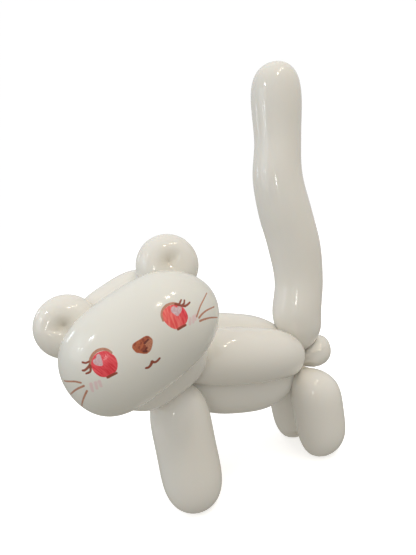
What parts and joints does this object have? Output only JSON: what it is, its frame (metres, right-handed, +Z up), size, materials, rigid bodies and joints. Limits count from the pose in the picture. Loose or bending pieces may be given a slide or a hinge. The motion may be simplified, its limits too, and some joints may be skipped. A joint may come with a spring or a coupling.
{
  "type": "balloon cat sculpture",
  "caption": "White twisted-balloon cat standing on its feet, head turned to its left with a drawn face, round ears and a tall upright tail.",
  "frame": {"origin": "middle of the footprint of the whole cat, on the surface it stands on", "axes": "+Z up, -Y the way the cat's body faces, +X the cat's left side, to which its head is turned"},
  "size_m": [0.1618, 0.2828, 0.3922],
  "materials": {
    "white_latex": "glossy",
    "white_latex_head": "glossy",
    "white_latex_face": "glossy"
  },
  "bodies": {
    "root": {"body_balloon": "white_latex", "head_balloon": "white_latex_head", "face_balloon": "white_latex_face"}
  },
  "joints": []
}
